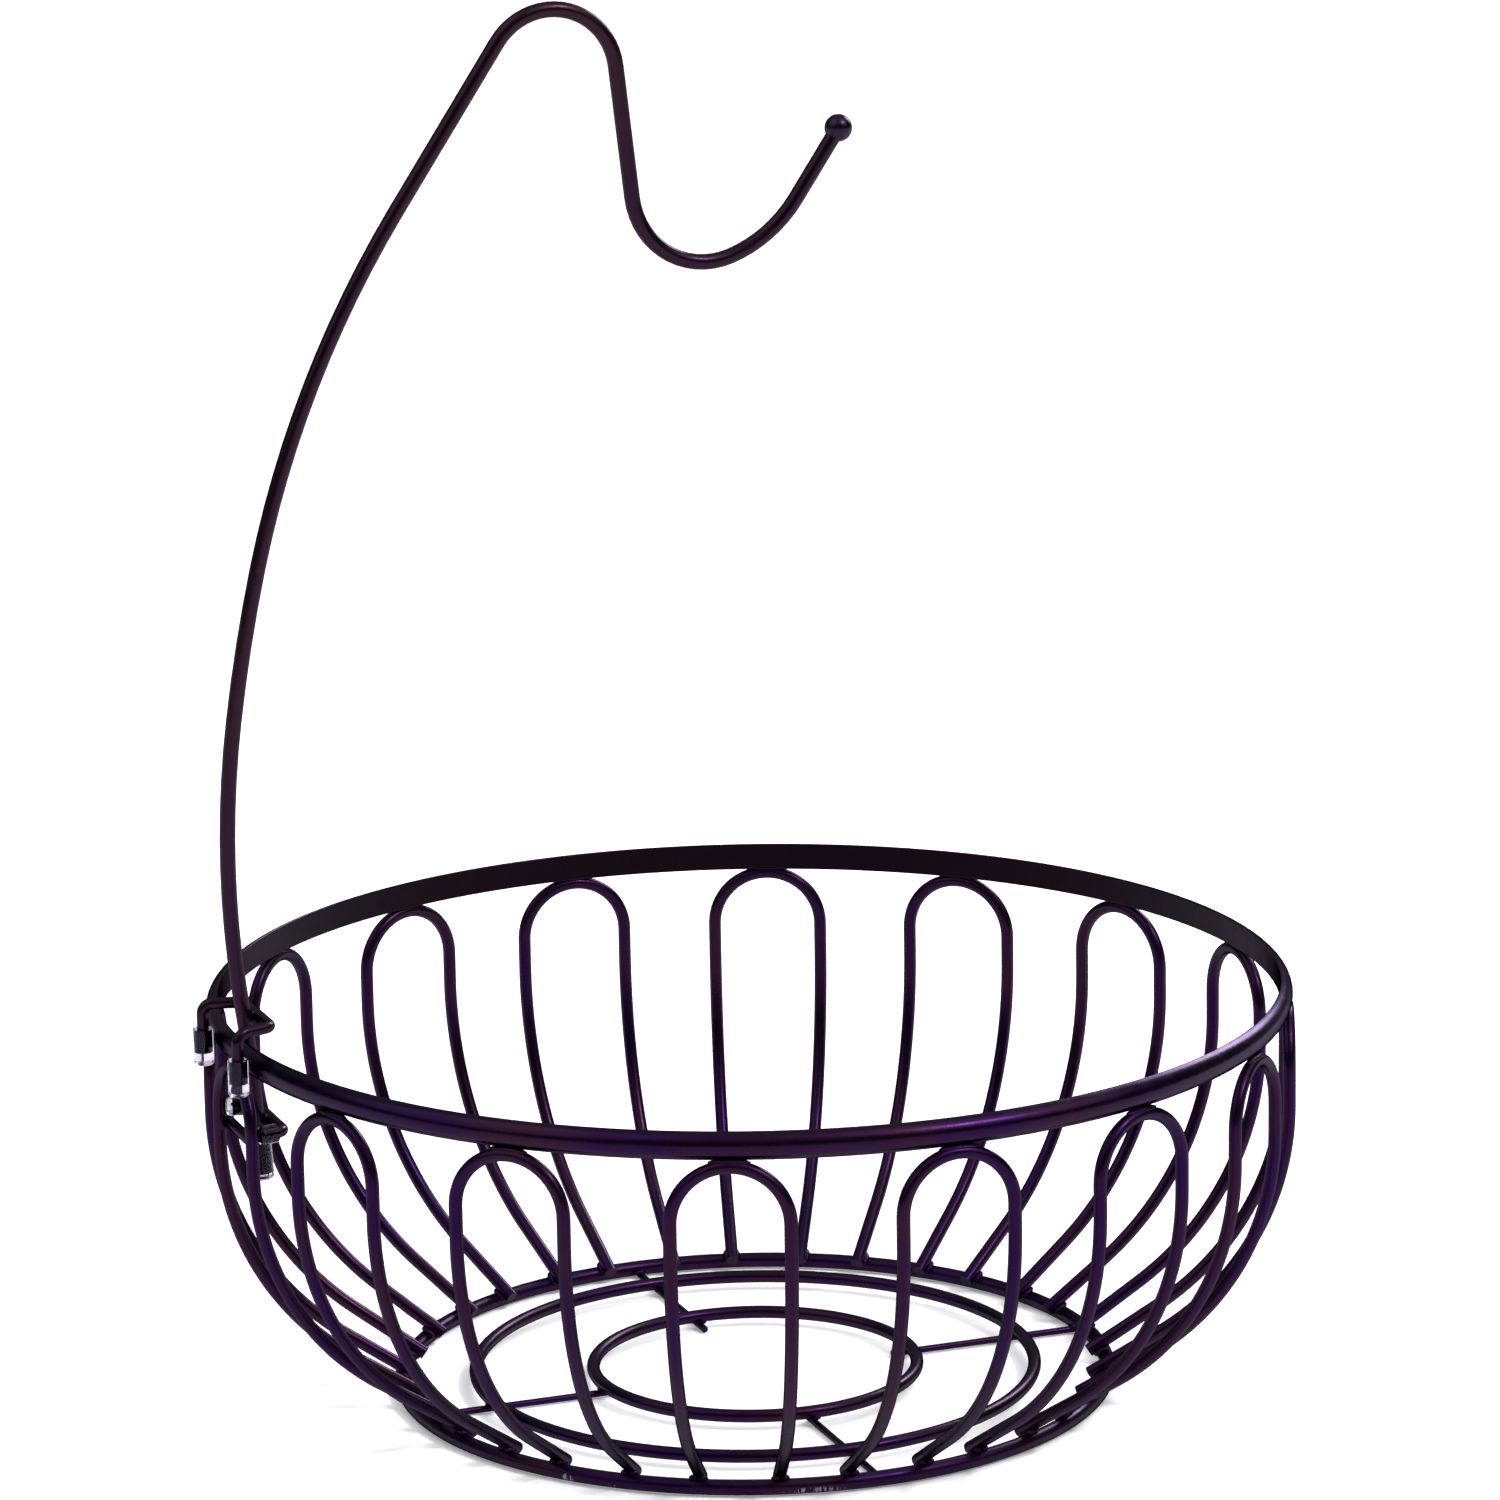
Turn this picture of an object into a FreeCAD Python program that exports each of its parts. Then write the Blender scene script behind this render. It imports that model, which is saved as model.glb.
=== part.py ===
import FreeCAD, Part
import Sketcher
import math
import os
from FreeCAD import Vector, Rotation, Placement

# Wire fruit bowl with a hook-on hanger. Millimetres, Z up, origin on the bowl's axis at the table.
# The front of the bowl looks along -Y. Azimuths run from the front, positive to the right.

doc = FreeCAD.newDocument("fruit_bowl")
sheet = doc.addObject("Spreadsheet::Sheet", "sizes")

SIZES = [
    # the rim, a half-round band with its flat side inward
    ("rim_inner_radius", 136.8),
    ("rim_thickness", 3.2),
    ("rim_height", 7.4),
    ("rim_mid_height", 104.5),
    ("rim_edge_break", 0.35),
    # the sixteen upright loops between the rim and the base ring
    ("loop_count", 16),
    ("loop_wire_radius", 1.7),
    ("loop_first_azimuth", -2.2),
    ("loop_arch_radius", 14.6),
    ("loop_beyond_rim_flat", 1.8),
    ("leg_straight_top", 7.9),
    ("leg_straight_foot", 18.5),
    ("leg_overhang", 3.0),
    ("leg_weld_bite", 0.12),
    # the rings and spokes of the floor
    ("base_ring_radius", 92.1),
    ("base_wire_radius", 2.0),
    ("floor_wire_radius", 1.7),
    ("middle_ring_radius", 73.0),
    ("centre_ring_radius", 42.3),
    ("spoke_radius", 0.9),
    ("spoke_inner_overhang", 4.0),
    ("spoke_to_base_line", 1.7),
    ("weld_bite", 0.05),
    # the bar between two legs that carries the hanger
    ("rest_bar_radius", 1.5),
    ("rest_bar_inside_legs", 2.4),
    ("rest_bar_end_gap", 1.2),
    ("rest_bar_below_rim", 22.7),
    # the hanger's rod, from its foot to the ball
    ("hanger_loop_index", -3),
    ("rod_radius", 2.0),
    ("rod_foot_inside_rim", 4.95),
    ("rod_foot_below_rim", 32.7),
    ("rod_foot_lean", 4.25),
    ("rod_foot_straight", 27.2),
    ("rod_flare_radius", 200.0),
    ("rod_flare_lean", 8.4),
    ("rod_back_radius", 260.0),
    ("rod_back_turn", 16.8),
    ("rod_shoulder_radius", 420.0),
    ("rod_shoulder_turn", 5.3),
    ("rod_neck_radius", 267.0),
    ("rod_neck_turn", 20.5),
    ("rod_top_height", 361.7),
    ("rod_top_bend", 17.0),
    ("rod_top_turn", 139.6),
    ("rod_drop", 33.6),
    ("hook_bend", 19.75),
    ("hook_turn", 101.9),
    ("hook_lip_bend", 35.0),
    ("hook_lip_turn", 37.5),
    ("hook_lip_straight", 19.1),
    ("ball_radius", 3.5),
    ("ball_socket_depth", 2.0),
    # the two bent brackets on the rod
    ("bracket_radius", 1.5),
    ("bracket_bend_radius", 2.8),
    ("bracket_half_width", 12.25),
    ("hook_above_rim_middle", 8.7),
    ("hook_half_width", 15.5),
    ("hook_wire_below_rim_middle", 4.1),
    # the clear vinyl caps
    ("fit_clearance", 0.03),
    ("seat_gap", 0.1),
    ("hook_cap_radius", 2.6),
    ("hook_cap_length", 9.5),
    ("hook_cap_tip", 3.3),
    ("rest_cap_radius", 2.4),
    ("rest_cap_length", 5.1),
    ("rest_cap_tip", 1.6),
    ("rod_cap_radius", 2.9),
    ("rod_cap_length", 9.5),
    ("rod_cap_tip", 1.7),
    ("cap_corner", 1.1),
]

# The loops are welded by hand. From the front one on: how far each sits off its even place round
# the rim, and how far its left and right legs swing sideways on the way in, all in degrees.
LOOPS_AS_WELDED = [
    (0.0, -1.6, -0.2),
    (0.8, -0.6, 0.6),
    (0.7, 0.5, 0.0),
    (0.6, 0.0, 0.0),
    (0.0, 0.0, 0.0),
    (0.9, 0.0, 0.0),
    (0.4, 0.0, 0.0),
    (0.0, 0.0, 0.0),
    (0.0, 0.0, 0.0),
    (0.0, 0.0, 0.0),
    (-0.7, 0.0, 0.0),
    (-0.6, 0.0, 0.0),
    (0.0, 0.0, 0.0),
    (0.0, 0.0, 0.0),
    (-0.55, -2.0, -3.0),
    (-0.35, -3.3, -2.1),
]
for row, (name, value) in enumerate(SIZES, start=1):
    sheet.set("A%d" % row, name)
    sheet.set("B%d" % row, str(value))
    sheet.setAlias("B%d" % row, name)
doc.recompute()


def size(name):
    return float(sheet.get(name))


def azimuth_turn(azimuth):
    """Turn that carries local +X onto the outward direction at an azimuth."""
    return Rotation(Vector(0, 0, 1), azimuth - 90.0)


def in_plane(azimuth, reach, along, height):
    """Point given by outward reach, sideways offset and height at an azimuth."""
    return azimuth_turn(azimuth).multVec(Vector(reach, along, height))


def axis_placement(start, direction):
    """Placement that sets a local Z axis on a start point and a direction."""
    return Placement(start, Rotation(Vector(0, 0, 1), direction))


def bind(thing, **links):
    for prop, alias in links.items():
        thing.setExpression(prop, alias if "sizes." in alias else "sizes." + alias)


nodes = []


def node(thing, label):
    thing.Label = label
    nodes.append(thing)
    return thing


def bent_wire(points, bend_radius, wire_radius):
    """Round wire through corner points, each corner bent to one radius."""
    edges = []
    last = points[0]
    for before, corner, after in zip(points, points[1:], points[2:]):
        toward = (before - corner).normalize()
        away = (after - corner).normalize()
        half_angle = toward.getAngle(away) / 2.0
        setback = bend_radius / math.tan(half_angle)
        start = corner + toward * setback
        end = corner + away * setback
        centre = corner + (toward + away).normalize() * (bend_radius / math.sin(half_angle))
        middle = centre + (corner - centre).normalize() * bend_radius
        edges.append(Part.makeLine(last, start))
        edges.append(Part.Arc(start, middle, end).toShape())
        last = end
    edges.append(Part.makeLine(last, points[-1]))
    first = points[1] - points[0]
    profile = Part.Wire(Part.makeCircle(wire_radius, points[0], first))
    return Part.Wire(edges).makePipeShell([profile], True, False)


# Rim: the section is one closed chain of a straight flat and three arcs
def origin_feature(body, role):
    return [f for f in body.Origin.OriginFeatures if f.Role == role][0]


def sketch_on(body, name, role):
    sketch = body.newObject("Sketcher::SketchObject", name)
    sketch.AttachmentSupport = [(origin_feature(body, role), "")]
    sketch.MapMode = "FlatFace"
    return sketch


def constrain(sketch, *constraint, to=None):
    index = sketch.addConstraint(Sketcher.Constraint(*constraint))
    if to:
        sketch.setExpression("Constraints[%d]" % index, to)


def sketch_arc(centre_x, centre_y, radius, start_angle, end_angle):
    circle = Part.Circle(Vector(centre_x, centre_y, 0), Vector(0, 0, 1), radius)
    return Part.ArcOfCircle(circle, start_angle, end_angle)


rim_body = doc.addObject("PartDesign::Body", "rim_body")
rim_section = sketch_on(rim_body, "rim_section", "XZ_Plane")
inner = size("rim_inner_radius")
middle_height = size("rim_mid_height")
edge_break = size("rim_edge_break")
crown_radius = (size("rim_thickness") ** 2 + (size("rim_height") / 2.0) ** 2) / (2.0 * size("rim_thickness"))
crown_centre = inner + size("rim_thickness") - crown_radius
corner_rise = math.sqrt((crown_radius - edge_break) ** 2 - (inner + edge_break - crown_centre) ** 2)
corner_angle = math.atan2(corner_rise, inner + edge_break - crown_centre)
rim_section.addGeometry([
    Part.LineSegment(
        Vector(inner, middle_height + corner_rise, 0),
        Vector(inner, middle_height - corner_rise, 0),
    ),
    sketch_arc(inner + edge_break, middle_height - corner_rise, edge_break, math.pi, 2 * math.pi - corner_angle),
    sketch_arc(crown_centre, middle_height, crown_radius, -corner_angle, corner_angle),
    sketch_arc(inner + edge_break, middle_height + corner_rise, edge_break, corner_angle, math.pi),
], False)
for index in range(4):
    constrain(rim_section, "Tangent", index, 2, (index + 1) % 4, 1)
constrain(rim_section, "Vertical", 0)
constrain(rim_section, "DistanceX", -1, 1, 0, 1, inner, to="sizes.rim_inner_radius")
constrain(rim_section, "DistanceY", -1, 1, 2, 3, middle_height, to="sizes.rim_mid_height")
constrain(rim_section, "Radius", 1, edge_break, to="sizes.rim_edge_break")
constrain(rim_section, "Equal", 1, 3)
crown_formula = "(sizes.rim_thickness ^ 2 + (sizes.rim_height / 2) ^ 2) / (2 * sizes.rim_thickness)"
constrain(rim_section, "Radius", 2, crown_radius, to=crown_formula)
constrain(
    rim_section, "DistanceX", -1, 1, 2, 3, crown_centre,
    to="sizes.rim_inner_radius + sizes.rim_thickness - " + crown_formula,
)
doc.recompute()
rim_turn = rim_body.newObject("PartDesign::Revolution", "rim_turn")
rim_turn.Profile = rim_section
rim_turn.ReferenceAxis = (rim_section, ["V_Axis"])
rim_turn.Angle = 360.0
rim_body.Tip = rim_turn
node(rim_body, "rim_band")


# Upright loops: a half-circle arch under the rim, two legs swept in to the base ring
loop_plane = inner + size("loop_beyond_rim_flat")
arch = size("loop_arch_radius")
loop_wire = size("loop_wire_radius")
touch_rim = crown_radius + loop_wire - size("weld_bite")
arch_top = middle_height - math.sqrt(touch_rim ** 2 - (loop_plane - crown_centre) ** 2)
spring_height = arch_top - arch
leg_reach = math.hypot(loop_plane, arch)


def leg_bend():
    """Bend radius and angle that bring a leg down onto the base ring, and where it touches."""
    run = size("leg_straight_foot")
    touch = size("base_wire_radius") + loop_wire - size("leg_weld_bite")

    def solve(angle):
        foot_r = size("base_ring_radius") - touch * math.cos(angle)
        foot_z = size("base_wire_radius") + touch * math.sin(angle)
        radius = (leg_reach - foot_r - run * math.sin(angle)) / (1.0 - math.cos(angle))
        drop = size("leg_straight_top") + radius * math.sin(angle) + run * math.cos(angle)
        return radius, foot_r, foot_z, drop - (spring_height - foot_z)

    low, high = math.radians(20.0), math.radians(120.0)
    for _ in range(60):
        angle = (low + high) / 2.0
        if solve(angle)[3] > 0:
            low = angle
        else:
            high = angle
    radius, foot_r, foot_z, _ = solve(angle)
    return radius, angle, foot_r, foot_z


def loop_shape(left_turn, right_turn):
    bend, end_angle, foot_r, foot_z = leg_bend()
    turns = {-1.0: math.radians(left_turn), 1.0: math.radians(right_turn)}
    half_angle = end_angle / 2.0
    bend_top = spring_height - size("leg_straight_top")
    bend_centre = leg_reach - bend
    over = size("leg_overhang")

    def on_leg(side, radius, height):
        inward = Vector(-loop_plane, -side * arch, 0) * (1.0 / leg_reach)
        across = Vector(inward.y, -inward.x, 0)
        run = inward * math.cos(turns[side]) + across * math.sin(turns[side])
        return Vector(loop_plane, side * arch, height) + run * (leg_reach - radius)

    def on_bend(side, angle):
        return on_leg(side, bend_centre + bend * math.cos(angle), bend_top - bend * math.sin(angle))

    def leg(side):
        spring = on_leg(side, leg_reach, spring_height)
        tip = on_leg(side, foot_r - over * math.sin(end_angle), foot_z - over * math.cos(end_angle))
        edges = [
            Part.makeLine(spring, on_bend(side, 0.0)),
            Part.Arc(on_bend(side, 0.0), on_bend(side, half_angle), on_bend(side, end_angle)).toShape(),
            Part.makeLine(on_bend(side, end_angle), tip),
        ]
        return edges, tip, on_bend(side, end_angle) - tip

    left, tip, direction = leg(-1.0)
    right, _, _ = leg(1.0)
    top = Part.Arc(
        Vector(loop_plane, -arch, spring_height),
        Vector(loop_plane, 0, arch_top),
        Vector(loop_plane, arch, spring_height),
    ).toShape()
    spine = Part.Wire(Part.__sortEdges__(left + [top] + right))
    profile = Part.Wire(Part.makeCircle(loop_wire, tip, direction))
    return spine.makePipeShell([profile], True, False)


loop_step = 360.0 / size("loop_count")
for number in range(int(size("loop_count"))):
    shift, left_turn, right_turn = LOOPS_AS_WELDED[number % len(LOOPS_AS_WELDED)]
    azimuth = size("loop_first_azimuth") + loop_step * number + shift
    loop = doc.addObject("Part::Feature", "loop_%02d" % (number + 1))
    loop.Shape = loop_shape(left_turn, right_turn)
    loop.Placement = Placement(Vector(0, 0, 0), azimuth_turn(azimuth))
    node(loop, "side_loop_%02d" % (number + 1))


# Floor: a heavy base ring on the table, two lighter rings carried on four thin spokes
def ring(name, radius_alias, wire_alias, height):
    torus = doc.addObject("Part::Torus", name + "_torus")
    bind(torus, Radius1=radius_alias, Radius2=wire_alias)
    torus.Placement = Placement(Vector(0, 0, height), Rotation())
    return node(torus, name)


ring_height = 2.0 * size("spoke_radius") + size("floor_wire_radius") - size("weld_bite")
ring("base_ring", "base_ring_radius", "base_wire_radius", size("base_wire_radius"))
ring("middle_floor_ring", "middle_ring_radius", "floor_wire_radius", ring_height)
ring("centre_floor_ring", "centre_ring_radius", "floor_wire_radius", ring_height)

hanger_azimuth = size("loop_first_azimuth") + loop_step * size("hanger_loop_index")
for number in range(4):
    azimuth = hanger_azimuth + 90.0 * number
    spoke_start = size("centre_ring_radius") - size("spoke_inner_overhang")
    start = in_plane(azimuth, spoke_start, 0, size("spoke_radius"))
    spoke = doc.addObject("Part::Cylinder", "spoke_%d" % (number + 1))
    bind(
        spoke,
        Radius="spoke_radius",
        Height="sizes.base_ring_radius - sizes.spoke_to_base_line"
        " - sizes.centre_ring_radius + sizes.spoke_inner_overhang",
    )
    spoke.Placement = axis_placement(start, in_plane(azimuth, 1, 0, 0))
    node(spoke, "floor_spoke_%d" % (number + 1))

rest_half = arch - size("rest_bar_end_gap")
rest_height = middle_height - size("rest_bar_below_rim")
rest = doc.addObject("Part::Cylinder", "rest_bar")
bind(rest, Radius="rest_bar_radius", Height="2 * (sizes.loop_arch_radius - sizes.rest_bar_end_gap)")
rest_start = in_plane(hanger_azimuth, loop_plane - size("rest_bar_inside_legs"), -rest_half, rest_height)
rest.Placement = axis_placement(rest_start, in_plane(hanger_azimuth, 0, 1, 0))
node(rest, "hanger_rest_bar")


# Hanger rod: a chain of straights and bends in one plane.
# Each step is a straight length, then a bend radius and a turn in degrees, positive outward.
class RodPath:
    def __init__(self, reach, height, heading):
        self.place = Vector(reach, height, 0)
        self.heading = math.radians(heading)
        self.pieces = []

    def direction(self):
        return Vector(math.sin(self.heading), math.cos(self.heading), 0)

    def straight(self, length):
        end = self.place + self.direction() * length
        self.pieces.append(Part.LineSegment(self.place, end))
        self.place = end

    def bend(self, radius, turn):
        side = 1.0 if turn > 0 else -1.0
        across = Vector(math.cos(self.heading), -math.sin(self.heading), 0) * side
        centre = self.place + across * radius

        def around(angle):
            return Vector(math.cos(angle), -math.sin(angle), 0) * (-side * radius)

        half = self.heading + math.radians(turn) / 2.0
        self.heading += math.radians(turn)
        middle = centre + around(half)
        end = centre + around(self.heading)
        self.pieces.append(Part.Arc(self.place, middle, end))
        self.place = end


# The long back sweeps out past the rim, up and inward; then the top bend and the open hook.
lean = size("rod_foot_lean")
foot_reach = inner - size("rod_foot_inside_rim")
foot_height = middle_height - size("rod_foot_below_rim")
rod = RodPath(foot_reach, foot_height, lean)
rod.straight(size("rod_foot_straight"))
rod.bend(size("rod_flare_radius"), size("rod_flare_lean") - lean)
rod.bend(size("rod_back_radius"), -size("rod_back_turn"))
rod.bend(size("rod_shoulder_radius"), -size("rod_shoulder_turn"))
rod.bend(size("rod_neck_radius"), -size("rod_neck_turn"))
top_bend = size("rod_top_bend")
rise = size("rod_top_height") - top_bend * (1.0 + math.sin(rod.heading)) - rod.place.y
rod.straight(rise / math.cos(rod.heading))
rod.bend(top_bend, -size("rod_top_turn"))
rod.straight(size("rod_drop"))
rod.bend(size("hook_bend"), size("hook_turn"))
rod.bend(size("hook_lip_bend"), size("hook_lip_turn"))
rod.straight(size("hook_lip_straight"))
ball_centre_2d = rod.place + rod.direction() * (size("ball_radius") - size("ball_socket_depth"))
rod_end_direction = rod.direction()

rod_body = doc.addObject("PartDesign::Body", "rod_body")
rod_spine = sketch_on(rod_body, "rod_spine", "XZ_Plane")
for index, piece in enumerate(rod.pieces):
    rod_spine.addGeometry(piece, False)
    constrain(rod_spine, "Block", index)
rod_profile = sketch_on(rod_body, "rod_profile", "XY_Plane")
rod_profile.AttachmentOffset = Placement(
    Vector(foot_reach, 0, foot_height),
    Rotation(Vector(0, 1, 0), lean),
)
rod_profile.addGeometry(Part.Circle(Vector(0, 0, 0), Vector(0, 0, 1), size("rod_radius")), False)
constrain(rod_profile, "Coincident", 0, 3, -1, 1)
constrain(rod_profile, "Radius", 0, size("rod_radius"), to="sizes.rod_radius")
doc.recompute()
rod_pipe = rod_body.newObject("PartDesign::AdditivePipe", "rod_pipe")
rod_pipe.Profile = rod_profile
rod_pipe.Spine = rod_spine
rod_body.Tip = rod_pipe
rod_body.Placement = Placement(Vector(0, 0, 0), azimuth_turn(hanger_azimuth))
node(rod_body, "hanger_rod")


def from_rod_plane(flat):
    return in_plane(hanger_azimuth, flat.x, 0, flat.y)


# Ball on the free end, bored to seat on the rod
ball_centre = from_rod_plane(ball_centre_2d)
ball_axis = from_rod_plane(rod_end_direction)
ball = doc.addObject("Part::Sphere", "ball")
bind(ball, Radius="ball_radius")
ball.Placement = axis_placement(ball_centre, ball_axis)
ball_bore = doc.addObject("Part::Cylinder", "ball_bore")
bind(ball_bore, Radius="sizes.rod_radius + sizes.fit_clearance", Height="sizes.ball_radius * 2")
bore_floor = size("ball_radius") - size("ball_socket_depth")
ball_bore.Placement = axis_placement(ball_centre - ball_axis * bore_floor, ball_axis * -1.0)
ball_cut = doc.addObject("Part::Cut", "ball_cut")
ball_cut.Base = ball
ball_cut.Tool = ball_bore
node(ball_cut, "hanger_ball")


# Brackets bent from one wire each. The crossbar is welded to the inward side of the rod.
def rod_reach_at(height):
    """Outward reach of the rod's centre line at a height below its widest point."""
    level = Part.LineSegment(Vector(0, height, 0), Vector(2 * inner, height, 0))
    for piece in rod.pieces:
        hits = piece.toShape().distToShape(level.toShape())
        if hits[0] < 1e-6:
            return hits[1][0][0].x
    raise ValueError("the rod does not pass that height")


def crossbar_reach(height):
    touch = size("rod_radius") + size("bracket_radius") - size("weld_bite")
    return rod_reach_at(height) - touch


def bracket(name, points):
    feature = doc.addObject("Part::Feature", name + "_wire")
    placed = [in_plane(hanger_azimuth, *point) for point in points]
    feature.Shape = bent_wire(placed, size("bracket_bend_radius"), size("bracket_radius"))
    return node(feature, name)


half = size("bracket_half_width")
hook_half = size("hook_half_width")
hook_level = middle_height + size("hook_above_rim_middle")
hook_wire_end = middle_height - size("hook_wire_below_rim_middle")
rim_outer = inner + size("rim_thickness")
hook_reach = math.sqrt(rim_outer ** 2 - hook_half ** 2) + size("hook_cap_radius") + size("seat_gap")
hook_bar = crossbar_reach(hook_level)
bracket("rim_hook_bracket", [
    (hook_reach, -hook_half, hook_wire_end),
    (hook_reach, -hook_half, hook_level),
    (hook_bar, -half, hook_level),
    (hook_bar, half, hook_level),
    (hook_reach, hook_half, hook_level),
    (hook_reach, hook_half, hook_wire_end),
])

# The lower arms lie on the rest bar and point at the two legs, a cap between each arm and its leg.
rest_level = rest_height + size("rest_bar_radius") + size("rest_cap_radius") + size("fit_clearance")
rest_crossbar = crossbar_reach(rest_level)
to_leg = Vector(loop_plane - rest_crossbar, arch - half, 0)
cap_reach = to_leg.Length - loop_wire - size("seat_gap")
arm = Vector(to_leg).normalize()
wire_reach = cap_reach - size("rest_cap_tip")


def on_arm(side, distance):
    return (rest_crossbar + arm.x * distance, side * (half + arm.y * distance), rest_level)


bracket("rest_bracket", [
    on_arm(-1.0, wire_reach),
    on_arm(-1.0, 0.0),
    on_arm(1.0, 0.0),
    on_arm(1.0, wire_reach),
])


# Caps: a closed rounded tip at local zero, open end up, bored for the wire it sits on
def cap(label, tip, direction, kind, wire_alias):
    outer = doc.addObject("Part::Cylinder", label + "_outer")
    bind(outer, Radius=kind + "_radius", Height=kind + "_length")
    outer.Placement = axis_placement(tip, direction)
    doc.recompute()
    tip_edges = [
        i + 1
        for i, edge in enumerate(outer.Shape.Edges)
        if edge.Curve.TypeId == "Part::GeomCircle" and (edge.Curve.Center - tip).Length < 0.01
    ]
    rounded = doc.addObject("Part::Fillet", label + "_rounded")
    rounded.Base = outer
    rounded.Edges = [(i, size("cap_corner"), size("cap_corner")) for i in tip_edges]
    bore = doc.addObject("Part::Cylinder", label + "_bore")
    bind(bore, Radius="sizes.%s + sizes.fit_clearance" % wire_alias, Height=kind + "_length")
    bore_start = tip + direction * (size(kind + "_tip") - size("fit_clearance"))
    bore.Placement = axis_placement(bore_start, direction)
    cut = doc.addObject("Part::Cut", label + "_cut")
    cut.Base = rounded
    cut.Tool = bore
    return node(cut, label)


up = Vector(0, 0, 1)
hook_tip = hook_wire_end - size("hook_cap_tip")
for word, side in (("rear", -1.0), ("front", 1.0)):
    tip = in_plane(hanger_azimuth, hook_reach, side * hook_half, hook_tip)
    cap("hook_cap_" + word, tip, up, "hook_cap", "bracket_radius")
for word, side in (("rear", -1.0), ("front", 1.0)):
    tip = in_plane(hanger_azimuth, *on_arm(side, cap_reach))
    toward_bar = in_plane(hanger_azimuth, *on_arm(side, 0.0)) - tip
    cap("rest_cap_" + word, tip, toward_bar.normalize(), "rest_cap", "bracket_radius")
rod_up = from_rod_plane(Vector(math.sin(math.radians(lean)), math.cos(math.radians(lean)), 0))
rod_foot = in_plane(hanger_azimuth, foot_reach, 0, foot_height)
cap("rod_end_cap", rod_foot - rod_up * size("rod_cap_tip"), rod_up, "rod_cap", "rod_radius")

doc.recompute()

for thing in doc.Objects:
    for word in ("Invalid", "Error"):
        if word in thing.State:
            raise ValueError("%s is in state %s" % (thing.Name, thing.State))
os.makedirs("parts", exist_ok=True)
for thing in nodes:
    shape = thing.Shape
    if shape.isNull() or not shape.isValid() or len(shape.Solids) != 1:
        raise ValueError("%s has no sound single solid" % thing.Label)
    shape.exportStep("parts/%s.step" % thing.Label)
print("built %d nodes" % len(nodes))
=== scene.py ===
import bpy
import math
from mathutils import Matrix, Vector
from mathutils.bvhtree import BVHTree


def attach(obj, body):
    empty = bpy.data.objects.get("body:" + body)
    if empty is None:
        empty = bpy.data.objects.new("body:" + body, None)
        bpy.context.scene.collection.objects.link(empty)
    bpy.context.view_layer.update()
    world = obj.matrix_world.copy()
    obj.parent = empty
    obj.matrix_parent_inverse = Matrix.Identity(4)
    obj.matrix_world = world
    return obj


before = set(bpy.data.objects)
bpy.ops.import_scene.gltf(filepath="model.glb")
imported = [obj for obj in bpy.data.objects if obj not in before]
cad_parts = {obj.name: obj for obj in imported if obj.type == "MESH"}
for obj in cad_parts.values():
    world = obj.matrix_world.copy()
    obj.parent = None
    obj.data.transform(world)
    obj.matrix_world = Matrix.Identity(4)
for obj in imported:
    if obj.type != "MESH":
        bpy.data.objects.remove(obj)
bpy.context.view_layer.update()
scene = bpy.context.scene
MM = 0.001
UP = Vector((0, 0, 1))

# Places that part.py also has, in millimetres
RIM_UNDERSIDE = 100.88
LEG_ON_BASE_RING = (91.04, 3.63)
HANGER_AZIMUTH = -69.7
SPOKE_UNDER_RINGS = [(-84.69, -31.33, 1.35), (-68.47, -25.33, 1.78), (-39.67, -14.68, 1.78)]
ROD_ON_BRACKETS = [(-125.15, -46.29, 112.99), (-122.77, -45.41, 85.62)]
REST_BAR_ON_LEGS = [(-124.40, -60.23, 81.80), (-133.65, -35.23, 81.80)]

# A loop's feet lie within this radius, and a cap's bore within this gap of its wire, in millimetres
LOOP_FEET_WITHIN = 90.5
CAP_CLINGS_WITHIN = 0.12
CAPS_ON_WIRES = {"hook_cap": "rim_hook_bracket", "rest_cap": "rest_bracket", "rod_end": "hanger_rod"}

# Weld beads in millimetres: half length, half width and half height, then how far each sits from its weld's middle
ARCH_BEAD, LEG_BEAD, SMALL_BEAD = (5.3, 1.3, 0.95), (2.4, 1.35, 1.0), (1.8, 0.8, 0.7)
ARCH_BEAD_BELOW_RIM, LEG_BEAD_BESIDE, SPOKE_BEAD_BESIDE, HANGER_BEAD_BESIDE = 0.15, 1.1, 0.5, 0.9
WELD_LUMP_SIZE, WELD_LUMP_HEIGHT = 1.5, 0.45
LEG_LEAN_OUT, LEG_LEAN_UP = 0.84, 0.54

# Faces that meet more sharply than this keep their edge, and a face counts as facing the bowl's axis from this cosine
SHARP_ANGLE = math.radians(35)
FACES_BOWL_AXIS = -0.99

# Patches where the base ring has scraped over a counter: centre and half size in millimetres
BASE_RING_SCUFFS = [((-47.2, -80.6, 1.3), (2.0, 2.0, 1.4)), ((-38.3, -83.6, 1.4), (1.6, 2.2, 1.2)),
                    ((-36.2, -85.7, 1.0), (1.4, 2.0, 1.0)), ((15.2, -93.2, 0.8), (9.8, 3.4, 1.5))]


def outward(azimuth):
    a = math.radians(azimuth)
    return Vector((math.sin(a), -math.cos(a), 0.0))


def sideways(azimuth):
    a = math.radians(azimuth)
    return Vector((math.cos(a), math.sin(a), 0.0))


def linear(hex_text):
    """sRGB hex to a linear colour with alpha."""
    values = [int(hex_text[i:i + 2], 16) / 255.0 for i in (0, 2, 4)]
    return tuple(v / 12.92 if v <= 0.04045 else ((v + 0.055) / 1.055) ** 2.4 for v in values) + (1.0,)


def across(size):
    """Noise scale that makes features this many millimetres across."""
    return 1.0 / (size * MM)


def bare_tree(owner):
    """The emptied node tree of a material or world."""
    owner.use_nodes = True
    owner.node_tree.nodes.clear()
    return owner.node_tree


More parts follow.
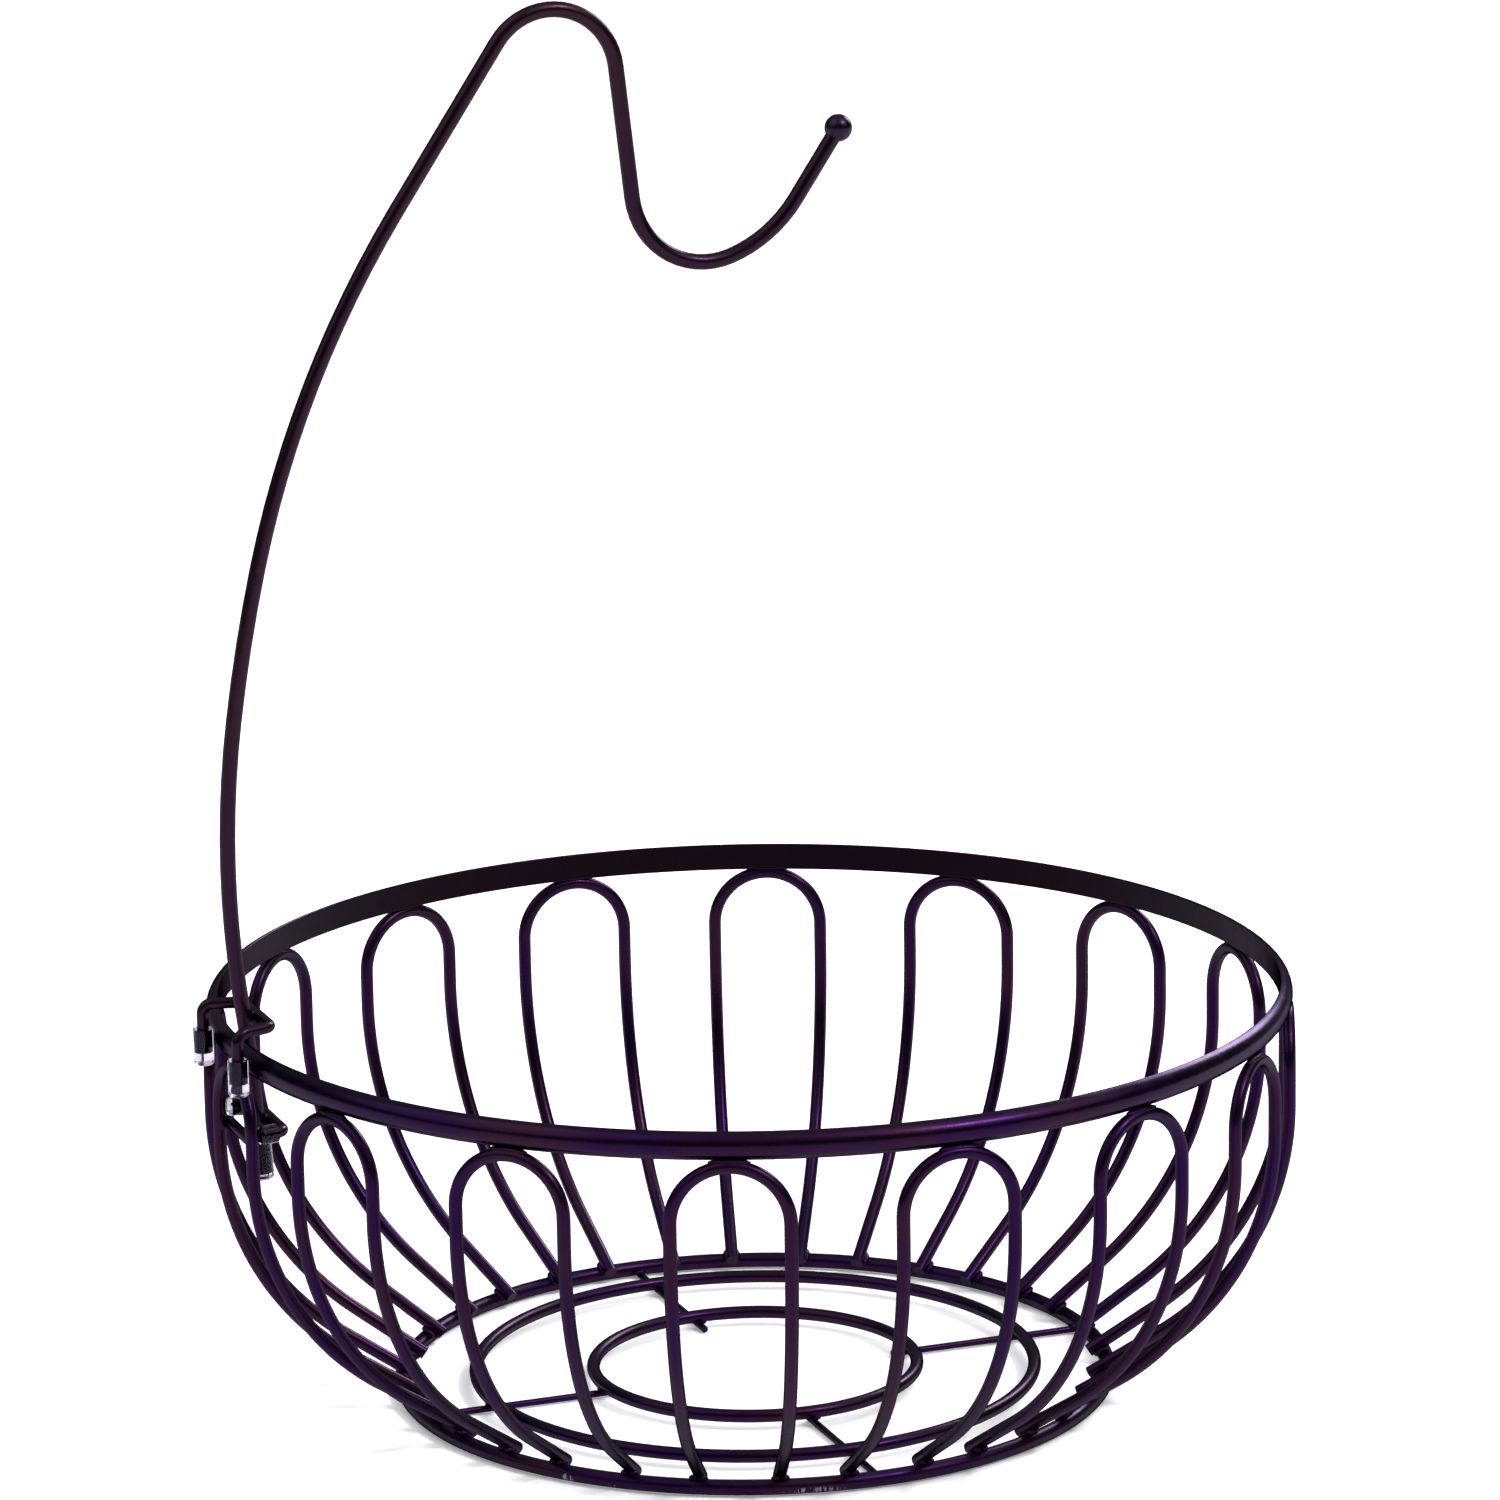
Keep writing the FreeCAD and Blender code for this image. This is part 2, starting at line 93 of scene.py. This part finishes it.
def add_node(tree, kind, inputs=None, **settings):
    """Adds a node. An input, by name or number, takes a value, a socket, or a node for its first output."""
    node = tree.nodes.new(kind)
    for key, value in settings.items():
        setattr(node, key, value)
    for key, value in (inputs or {}).items():
        if isinstance(value, bpy.types.Node):
            value = value.outputs[0]
        if isinstance(value, bpy.types.NodeSocket):
            tree.links.new(value, node.inputs[key])
        else:
            node.inputs[key].default_value = value
    return node


# Materials
def powder_coat(name, cool="0a0513", warm="0e070b", sheens=("bf62ff", "e488d8"), rough=(0.24, 0.34), gloss=0.60,
                scuffs=(), weld_lumps=False):
    """Black polyester powder coat, sprayed dry and baked on steel wire.

    The melt leaves a smooth satin skin with a slight orange peel, so lights draw long soft streaks along a wire.
    Its carbon black is violet in the sheen, and it sinks to plain black where the wire turns away from the eye.
    """
    material = bpy.data.materials.new(name)
    tree = bare_tree(material)
    skin = add_node(tree, "ShaderNodeTexCoord").outputs["Object"]

    # Thick and thin passes of the spray gun drift between violet-black and brown-black over 45 mm
    drift = add_node(tree, "ShaderNodeTexNoise", {"Vector": skin, "Scale": across(45)})
    drift = add_node(tree, "ShaderNodeMapRange", {0: drift, 1: 0.38, 2: 0.62})
    colour = add_node(tree, "ShaderNodeMix", {0: drift, 6: linear(cool), 7: linear(warm)},
                      data_type="RGBA").outputs[2]
    sheen = add_node(tree, "ShaderNodeMix", {0: drift, 6: linear(sheens[0]), 7: linear(sheens[1])},
                     data_type="RGBA").outputs[2]

    # Pigment flecks are about 0.1 mm and drawn 0.55 mm across, the least that shows in the picture
    fleck = add_node(tree, "ShaderNodeTexNoise", {"Vector": skin, "Scale": across(0.55), "Detail": 1.0})
    fleck = add_node(tree, "ShaderNodeMapRange", {0: fleck, 1: 0.60, 2: 0.75, 4: 0.25})
    colour = add_node(tree, "ShaderNodeMix", {0: fleck, 6: colour, 7: linear("18121f")}, data_type="RGBA").outputs[2]

    # Handling polishes 6 mm patches and leaves the rest a little duller
    rubbed = add_node(tree, "ShaderNodeTexNoise", {"Vector": skin, "Scale": across(6), "Detail": 3.0,
                                                   "Roughness": 0.6})
    dull = add_node(tree, "ShaderNodeMapRange", {0: rubbed, 1: 0.3, 2: 0.7, 3: rough[0], 4: rough[1]})

    # Orange peel of 1.5 mm, and on weld metal the ripples of 2.4 mm that the coat can't hide
    peel = add_node(tree, "ShaderNodeTexNoise", {"Vector": skin, "Scale": across(1.5), "Roughness": 0.55})
    relief = add_node(tree, "ShaderNodeBump", {"Height": peel, "Strength": 0.10, "Distance": 0.25 * MM})
    if weld_lumps:
        ripple = add_node(tree, "ShaderNodeTexNoise", {"Vector": skin, "Scale": across(2.4), "Detail": 3.0,
                                                       "Roughness": 0.65, "Distortion": 0.6})
        relief = add_node(tree, "ShaderNodeBump", {"Height": ripple, "Strength": 0.55, "Distance": 0.6 * MM,
                                                   "Normal": relief})

    # Scratches are about 0.1 mm wide and drawn 0.7 mm, drawn out along their lean so they read as strokes
    if scuffs:
        leaning = add_node(tree, "ShaderNodeMapping", {"Vector": skin, "Rotation": (0.0, 0.9, 0.0),
                                                       "Scale": (1.0, 0.4, 0.16)})
        stroke = add_node(tree, "ShaderNodeTexNoise", {"Vector": leaning, "Scale": across(0.67), "Roughness": 0.6,
                                                       "Distortion": 0.3})
        stroke = add_node(tree, "ShaderNodeMapRange", {0: stroke, 1: 0.50, 2: 0.58})
        worn = None
        for centre, half_size in scuffs:
            away = add_node(tree, "ShaderNodeVectorMath", {0: skin, 1: Vector(centre) * MM}, operation="SUBTRACT")
            away = add_node(tree, "ShaderNodeVectorMath", {0: away, 1: Vector(half_size) * MM}, operation="DIVIDE")
            away = add_node(tree, "ShaderNodeVectorMath", {0: away}, operation="LENGTH").outputs["Value"]
            near = add_node(tree, "ShaderNodeMapRange", {0: away, 1: 0.55, 2: 1.0, 3: 1.0, 4: 0.0})
            worn = add_node(tree, "ShaderNodeMath", {0: worn, 1: near}, operation="MAXIMUM") if worn else near
        worn = add_node(tree, "ShaderNodeMath", {0: worn, 1: stroke}, operation="MULTIPLY")
        colour = add_node(tree, "ShaderNodeMix", {0: worn, 6: colour, 7: linear("d6d0e0")},
                          data_type="RGBA").outputs[2]
        duller = add_node(tree, "ShaderNodeMath", {0: worn, 1: 0.25}, operation="MULTIPLY")
        dull = add_node(tree, "ShaderNodeMath", {0: dull, 1: duller}, operation="ADD")

    # The coat layer has no gloss of its own: it only takes light away, and more of it the more the wire turns away
    shader = add_node(tree, "ShaderNodeBsdfPrincipled", {
        "Base Color": colour, "Metallic": 0.0, "Roughness": dull, "IOR": 1.5, "Normal": relief,
        "Specular IOR Level": gloss, "Specular Tint": sheen,
        "Coat Weight": 1.0, "Coat Roughness": 0.3, "Coat IOR": 1.0, "Coat Tint": linear("cdc8d1")})
    add_node(tree, "ShaderNodeOutputMaterial", {"Surface": shader})
    return material


def clear_vinyl(name):
    """Soft clear vinyl cap, dip-moulded and pushed on.

    It is glassy but never quite clean: a faint milky haze, slow ripples from the dip, and the dark wire inside.
    """
    material = bpy.data.materials.new(name)
    tree = bare_tree(material)
    skin = add_node(tree, "ShaderNodeTexCoord").outputs["Object"]

    # Haze in clouds of 3.8 mm, dip ripples of 2.6 mm and a tone that changes every 2 mm
    haze = add_node(tree, "ShaderNodeTexNoise", {"Vector": skin, "Scale": across(3.8)})
    haze = add_node(tree, "ShaderNodeMapRange", {0: haze, 1: 0.35, 2: 0.7, 3: 0.02, 4: 0.07})
    ripple = add_node(tree, "ShaderNodeTexNoise", {"Vector": skin, "Scale": across(2.6), "Distortion": 0.5})
    ripple = add_node(tree, "ShaderNodeBump", {"Height": ripple, "Strength": 0.07, "Distance": 0.4 * MM})
    tone = add_node(tree, "ShaderNodeTexNoise", {"Vector": skin, "Scale": across(2)})
    tone = add_node(tree, "ShaderNodeMapRange", {0: tone, 1: 0.4, 2: 0.65})
    tone = add_node(tree, "ShaderNodeMix", {0: tone, 6: linear("cdc8d4"), 7: linear("aea7b8")},
                    data_type="RGBA").outputs[2]
    shader = add_node(tree, "ShaderNodeBsdfPrincipled", {
        "Base Color": tone, "Metallic": 0.0, "Roughness": haze, "IOR": 1.5, "Normal": ripple,
        "Specular IOR Level": 0.3, "Specular Tint": linear("a596bd"), "Transmission Weight": 1.0})
    add_node(tree, "ShaderNodeOutputMaterial", {"Surface": shader})
    return material


bowl_coat = powder_coat("satin_black_powder_coat_bowl_wires")
rim_coat = powder_coat("satin_black_powder_coat_rim_band", "090512", "0d070a", rough=(0.20, 0.30))
# Painted shade: a darker, less glossy copy of the rim's coat for the band's inner side, which faces into the bowl
rim_inside_painted_shade_coat = powder_coat("black_powder_coat_rim_inside_painted_shade", "060408", "080505", ("cc8cd0", "d498b8"),
                              (0.26, 0.36), gloss=0.22)
hanger_coat = powder_coat("satin_black_powder_coat_hanger", "0b070c", "100a0a", ("e298d8", "f0aac8"), (0.22, 0.32))
# The ball shows the lamps a little clearer than the wires do
ball_coat = powder_coat("smooth_black_powder_coat_hanger_ball", "080410", "0a060a", ("c4a2e6", "d2b0da"),
                        (0.24, 0.30), gloss=0.80)
base_coat = powder_coat("scuffed_black_powder_coat_base_ring", "09060f", "0d0808", rough=(0.26, 0.40),
                        scuffs=BASE_RING_SCUFFS)
weld_coat = powder_coat("black_powder_coat_over_weld_metal", "08050c", "0c0708", rough=(0.30, 0.46), weld_lumps=True)
# Vinyl that clings to the coat takes the place of the air, and the coat under it loses its gloss
clung_coat = powder_coat("black_powder_coat_under_clear_vinyl", "0b070c", "0e0909", gloss=0.03)
cap_vinyl = clear_vinyl("soft_clear_vinyl_caps")

for name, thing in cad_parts.items():
    if "cap" in name:
        finish = cap_vinyl
    elif name == "rim_band":
        finish = rim_coat
    elif name == "base_ring":
        finish = base_coat
    elif name == "hanger_ball":
        finish = ball_coat
    elif name.startswith("hanger") or "bracket" in name:
        finish = hanger_coat
    else:
        finish = bowl_coat
    thing.data.materials.clear()
    thing.data.materials.append(finish)
    for face in thing.data.polygons:
        face.use_smooth = True
    thing.data.set_sharp_from_angle(angle=SHARP_ANGLE)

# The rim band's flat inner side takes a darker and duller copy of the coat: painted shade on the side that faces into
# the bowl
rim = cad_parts["rim_band"].data
rim.materials.append(rim_inside_painted_shade_coat)
for face in rim.polygons:
    if face.normal.dot(Vector((face.center.x, face.center.y, 0.0)).normalized()) < FACES_BOWL_AXIS:
        face.material_index = 1

# The wall of each cap's bore shows the wire that it clings to
for cap_start, wire_name in CAPS_ON_WIRES.items():
    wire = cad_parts[wire_name]
    wire_skin = BVHTree.FromPolygons([wire.matrix_world @ vertex.co for vertex in wire.data.vertices],
                                     [tuple(face.vertices) for face in wire.data.polygons])
    for name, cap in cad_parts.items():
        if name.startswith(cap_start):
            cap.data.materials.append(clung_coat)
            for face in cap.data.polygons:
                if wire_skin.find_nearest(cap.matrix_world @ face.center)[3] < CAP_CLINGS_WITHIN * MM:
                    face.material_index = 1


# Weld beads
def weld_bead_tree():
    """One drawn-out drop of weld metal on each spot, long along its "along" arrow and lumpy all over."""
    tree = bpy.data.node_groups.new("weld_beads_on_spots", "GeometryNodeTree")
    for name, kind in (("Spots", "Geometry"), ("Half Length", "Float"), ("Half Width", "Float"),
                       ("Half Height", "Float"), ("Lump Size", "Float"), ("Lump Height", "Float"),
                       ("Seed", "Int"), ("Coat", "Material")):
        tree.interface.new_socket(name, in_out="INPUT", socket_type="NodeSocket" + kind)
    tree.interface.new_socket("Beads", in_out="OUTPUT", socket_type="NodeSocketGeometry")
    sizes = add_node(tree, "NodeGroupInput").outputs

    # The drop's poles lie at its two ends
    half_sizes = add_node(tree, "ShaderNodeCombineXYZ", {
        "X": sizes["Half Height"], "Y": sizes["Half Width"], "Z": sizes["Half Length"]})
    drop = add_node(tree, "GeometryNodeMeshUVSphere", {"Segments": 12, "Rings": 9})
    drop = add_node(tree, "GeometryNodeTransform", {
        "Geometry": drop, "Rotation": (0.0, math.pi / 2.0, 0.0), "Scale": half_sizes})

    along = add_node(tree, "GeometryNodeInputNamedAttribute", {"Name": "along"}, data_type="FLOAT_VECTOR")
    top_side = add_node(tree, "GeometryNodeInputNamedAttribute", {"Name": "top_side"}, data_type="FLOAT_VECTOR")
    turn = add_node(tree, "FunctionNodeAlignRotationToVector", {"Vector": along}, axis="X")
    turn = add_node(tree, "FunctionNodeAlignRotationToVector", {"Rotation": turn, "Vector": top_side},
                    axis="Z", pivot_axis="X")
    beads = add_node(tree, "GeometryNodeInstanceOnPoints", {
        "Points": sizes["Spots"], "Instance": drop, "Rotation": turn})
    beads = add_node(tree, "GeometryNodeRealizeInstances", {"Geometry": beads})

    per_lump = add_node(tree, "ShaderNodeMath", {0: 1.0, 1: sizes["Lump Size"]}, operation="DIVIDE")
    lump = add_node(tree, "ShaderNodeTexNoise", {"W": sizes["Seed"], "Scale": per_lump}, noise_dimensions="4D")
    lump = add_node(tree, "ShaderNodeMath", {0: lump, 1: 0.5}, operation="SUBTRACT")
    lump = add_node(tree, "ShaderNodeMath", {0: lump, 1: sizes["Lump Height"]}, operation="MULTIPLY")
    surface = add_node(tree, "GeometryNodeInputNormal")
    swell = add_node(tree, "ShaderNodeVectorMath", {0: surface, "Scale": lump}, operation="SCALE")
    beads = add_node(tree, "GeometryNodeSetPosition", {"Geometry": beads, "Offset": swell})
    beads = add_node(tree, "GeometryNodeSetShadeSmooth", {0: beads})
    beads = add_node(tree, "GeometryNodeSetMaterial", {0: beads, "Material": sizes["Coat"]})
    add_node(tree, "NodeGroupOutput", {0: beads})
    return tree


weld_beads = weld_bead_tree()


def weld_piece(name, spots, half_size, seed):
    """One piece of weld beads. A spot is its place in metres, its along arrow and the arrow to its top side."""
    points = bpy.data.meshes.new(name + "_spots")
    points.from_pydata([spot[0] for spot in spots], [], [])
    for number, arrow in ((1, "along"), (2, "top_side")):
        arrows = points.attributes.new(arrow, "FLOAT_VECTOR", "POINT")
        arrows.data.foreach_set("vector", [value for spot in spots for value in spot[number]])
    piece = bpy.data.objects.new(name, points)
    scene.collection.objects.link(piece)
    modifier = piece.modifiers.new("weld_beads", "NODES")
    modifier.node_group = weld_beads
    wanted = {"Half Length": half_size[0] * MM, "Half Width": half_size[1] * MM, "Half Height": half_size[2] * MM,
              "Lump Size": WELD_LUMP_SIZE * MM, "Lump Height": WELD_LUMP_HEIGHT * MM, "Seed": seed,
              "Coat": weld_coat}
    for socket in weld_beads.interface.items_tree:
        if socket.name in wanted:
            modifier[socket.identifier] = wanted[socket.name]
    shaped = piece.evaluated_get(bpy.context.evaluated_depsgraph_get())
    beads = bpy.data.meshes.new_from_object(shaped)
    beads.name = name
    piece.modifiers.remove(modifier)
    piece.data = beads
    bpy.data.meshes.remove(points)
    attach(piece, "root")


def loop_places(loop):
    """The top of a loop's arch and the azimuths of its two feet, read from its solid."""
    points = [loop.matrix_world @ vertex.co for vertex in loop.data.vertices]
    height = max(p.z for p in points)
    crown = [p for p in points if p.z > height - 0.2 * MM]
    top = sum(crown, Vector()) / len(crown)
    feet = [p for p in points if math.hypot(p.x, p.y) < LOOP_FEET_WITHIN * MM]
    across_loop = Vector((-top.y, top.x, 0.0))
    azimuths = []
    for side in (-1, 1):
        foot = [p for p in feet if p.dot(across_loop) * side > 0]
        middle = sum(foot, Vector()) / len(foot)
        azimuths.append(math.degrees(math.atan2(middle.x, -middle.y)))
    return top, azimuths


# Each arch touches the rim along a long low bead, and each leg sits on the base ring between two short ones
arch_welds, leg_welds = [], []
for name in sorted(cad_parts):
    if name.startswith("side_loop"):
        top, legs = loop_places(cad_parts[name])
        azimuth = math.degrees(math.atan2(top.x, -top.y))
        under_rim = Vector((top.x, top.y, (RIM_UNDERSIDE - ARCH_BEAD_BELOW_RIM) * MM))
        arch_welds.append((under_rim, sideways(azimuth), UP))
        for leg in legs:
            contact = (outward(leg) * LEG_ON_BASE_RING[0] + UP * LEG_ON_BASE_RING[1]) * MM
            for side in (-1, 1):
                beside = contact + sideways(leg) * (LEG_BEAD_BESIDE * side * MM)
                leg_welds.append((beside, outward(leg) * LEG_LEAN_OUT + UP * LEG_LEAN_UP, UP))
weld_piece("rim_weld_beads", arch_welds, ARCH_BEAD, 1)
weld_piece("base_weld_beads", leg_welds, LEG_BEAD, 2)

# Four spokes, each with two small drops at every ring that it crosses
floor_welds = []
for quarter in range(4):
    spin = Matrix.Rotation(math.radians(90.0 * quarter), 3, "Z")
    for x, y, z in SPOKE_UNDER_RINGS:
        radial = Vector((x, y, 0.0)).normalized()
        for side in (-1, 1):
            spot = Vector((x, y, z)) * MM + radial * (SPOKE_BEAD_BESIDE * side * MM)
            floor_welds.append((spin @ spot, spin @ Vector((radial.y, -radial.x, 0.0)), UP))
weld_piece("floor_weld_beads", floor_welds, SMALL_BEAD, 3)

# Two small drops where the rod crosses each bracket and where the rest bar meets each leg
hanger_out = outward(HANGER_AZIMUTH)
hanger_welds = [(Vector((x, y, z + HANGER_BEAD_BESIDE * side)) * MM, sideways(HANGER_AZIMUTH), UP)
                for x, y, z in ROD_ON_BRACKETS for side in (-1, 1)]
hanger_welds += [((Vector(spot) + hanger_out * (HANGER_BEAD_BESIDE * side)) * MM, UP, hanger_out)
                 for spot in REST_BAR_ON_LEGS for side in (-1, 1)]
weld_piece("hanger_weld_beads", hanger_welds, SMALL_BEAD, 4)


# Floor, light and camera
def shown_white(tree, mirrored):
    """1 for what the eye sees straight on or through clear vinyl, and the mirrored share for what a gloss shows."""
    rays = add_node(tree, "ShaderNodeLightPath").outputs
    shown = add_node(tree, "ShaderNodeMath", {0: rays["Is Glossy Ray"], 1: mirrored}, operation="MULTIPLY")
    for kind in ("Is Camera Ray", "Is Transmission Ray"):
        shown = add_node(tree, "ShaderNodeMath", {0: rays[kind], 1: shown}, operation="MAXIMUM")
    return shown


def floor_paper():
    """White paper that keeps the shadow and shows a little brighter than the lamps make it."""
    material = bpy.data.materials.new("matt_white_backdrop_paper")
    tree = bare_tree(material)
    place = add_node(tree, "ShaderNodeTexCoord").outputs["Object"]
    tone = add_node(tree, "ShaderNodeTexNoise", {"Vector": place, "Scale": across(330)})
    tone = add_node(tree, "ShaderNodeMapRange", {0: tone, 1: 0.4, 2: 0.6})
    tone = add_node(tree, "ShaderNodeMix", {0: tone, 6: linear("fafafa"), 7: linear("fefefe")},
                    data_type="RGBA").outputs[2]
    lift = add_node(tree, "ShaderNodeMath", {0: shown_white(tree, 1.0), 1: 0.22}, operation="MULTIPLY")
    shader = add_node(tree, "ShaderNodeBsdfPrincipled", {
        "Base Color": tone, "Roughness": 0.9, "Specular IOR Level": 0.0,
        "Emission Color": tone, "Emission Strength": lift})
    add_node(tree, "ShaderNodeOutputMaterial", {"Surface": shader})
    return material


def studio_world():
    """Dim room with a pale ceiling for the light, and a white backdrop for whatever looks at it."""
    world = bpy.data.worlds.new("studio")
    tree = bare_tree(world)
    towards = add_node(tree, "ShaderNodeTexCoord").outputs["Generated"]
    towards = add_node(tree, "ShaderNodeSeparateXYZ", {0: towards}).outputs
    ceiling = add_node(tree, "ShaderNodeMapRange", {0: towards["Z"], 1: 0.45, 2: 0.95})
    room = add_node(tree, "ShaderNodeMix", {0: ceiling, 6: linear("3f3c42"), 7: linear("dadadf")},
                    data_type="RGBA").outputs[2]
    room = add_node(tree, "ShaderNodeBackground", {"Color": room, "Strength": 1.0})
    white = add_node(tree, "ShaderNodeBackground", {"Color": linear("ffffff"), "Strength": 1.0})
    backdrop = add_node(tree, "ShaderNodeMapRange", {0: towards["Y"], 1: 0.5, 2: 0.95, 4: 0.5})
    seen = add_node(tree, "ShaderNodeMixShader", {0: shown_white(tree, backdrop), 1: room, 2: white})
    add_node(tree, "ShaderNodeOutputWorld", {"Surface": seen})
    return world


floor_reach, floor_height = 9.0, -0.3 * MM
floor_mesh = bpy.data.meshes.new("studio_floor")
floor_corners = [(x * floor_reach, y * floor_reach, floor_height) for x, y in ((-1, -1), (1, -1), (1, 1), (-1, 1))]
floor_mesh.from_pydata(floor_corners, [], [(0, 1, 2, 3)])
floor_mesh.materials.append(floor_paper())
studio_floor = bpy.data.objects.new("studio_floor", floor_mesh)
scene.collection.objects.link(studio_floor)

scene.view_settings.view_transform = "Standard"
scene.world = studio_world()

# Wide soft suns light the wires from both front sides: name, direction, strength, width in degrees, colour
for name, towards, strength, width, colour in (
        ("key_right_above", (-0.75, 0.35, -1.0), 0.9, 55, (1.0, 0.99, 1.0)),
        ("spark_right_above", (-0.70, 0.42, -0.90), 1.25, 10, (1.0, 1.0, 1.0)),
        ("fill_left_above", (0.80, 0.30, -0.9), 0.9, 60, (0.97, 0.97, 1.0))):
    sun = bpy.data.lights.new(name, "SUN")
    sun.energy, sun.angle, sun.color = strength, math.radians(width), colour
    sun_object = bpy.data.objects.new(name, sun)
    sun_object.rotation_euler = Vector(towards).to_track_quat("-Z", "Y").to_euler()
    scene.collection.objects.link(sun_object)

# One softbox behind on the right edges the wires there
softbox = bpy.data.lights.new("softbox_behind_right", "AREA")
softbox.shape, softbox.size, softbox.size_y = "RECTANGLE", 0.45, 0.6
softbox.energy, softbox.color = 21, (0.95, 0.95, 1.0)
softbox_object = bpy.data.objects.new("softbox_behind_right", softbox)
softbox_object.location = (0.80, 1.15, 0.90)
softbox_object.rotation_euler = (Vector((0, 0, 0.10)) - softbox_object.location).to_track_quat("-Z", "Y").to_euler()
scene.collection.objects.link(softbox_object)

# The camera looks 13.7 degrees down at the bowl, from 1.81 m: sizes in pixels of the picture, and in millimetres
FOCAL_PIXELS, PICTURE_PIXELS, SENSOR = 7079.9, 1500.0, 36.0
CAMERA_AIM, CAMERA_DISTANCE = Vector((1.253, 0, 168.371)), 1811.8
elevation, roll = math.radians(13.739), math.radians(-0.935)
forward = Vector((0, math.cos(elevation), -math.sin(elevation)))
level_right = Vector((1, 0, 0))
level_up = level_right.cross(forward)
right = level_right * math.cos(roll) + level_up * math.sin(roll)
up = level_up * math.cos(roll) - level_right * math.sin(roll)
camera_data = bpy.data.cameras.new("camera")
camera_data.sensor_width = SENSOR
camera_data.lens = FOCAL_PIXELS * SENSOR / PICTURE_PIXELS
camera = bpy.data.objects.new("camera", camera_data)
pose = Matrix((right, up, -forward)).transposed().to_4x4()
pose.translation = (CAMERA_AIM - forward * CAMERA_DISTANCE) * MM
camera.matrix_world = pose
scene.collection.objects.link(camera)
scene.camera = camera
